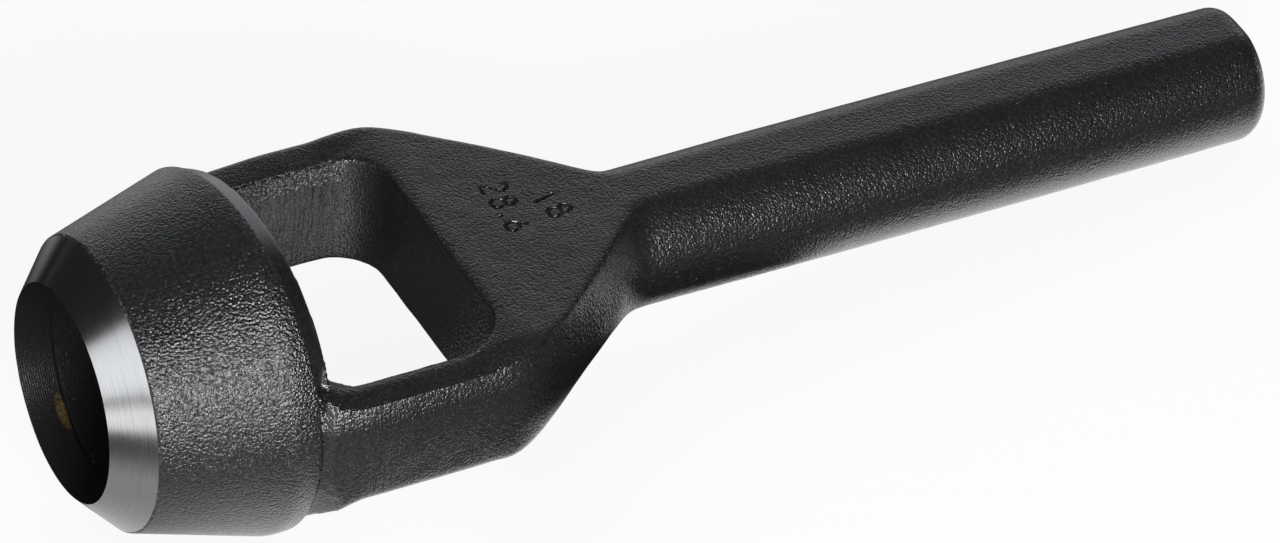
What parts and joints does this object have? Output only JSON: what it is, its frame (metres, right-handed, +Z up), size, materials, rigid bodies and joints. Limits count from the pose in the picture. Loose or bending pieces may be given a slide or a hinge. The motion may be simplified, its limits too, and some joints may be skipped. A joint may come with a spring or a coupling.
{
  "type": "arch punch",
  "caption": "Arch punch for cutting discs: a ring-shaped cutter with a ground bevel and open bore, on forged legs round an open window, a flat yoke and a round grip with flats.",
  "frame": {"origin": "bottom centre of the part's box, on the surface that the punch lies on", "axes": "+X runs from the cutting edge towards the struck end, +Z is up, and the window opens upwards; the punch's own axis falls 6.05 degrees from the cutting edge to the struck end, because it lies on the rim of the head and on the lower flat of the grip"},
  "size_m": [0.1732, 0.051, 0.0482],
  "materials": {
    "head_steel": "fine-grained black coating, with a bare ground bevel at the cutting edge",
    "forged_black": "black coating over forged steel, satin, with an orange-peel grain"
  },
  "bodies": {
    "root": {"cutter_head": "head_steel", "forged_frame": "forged_black"}
  },
  "joints": []
}
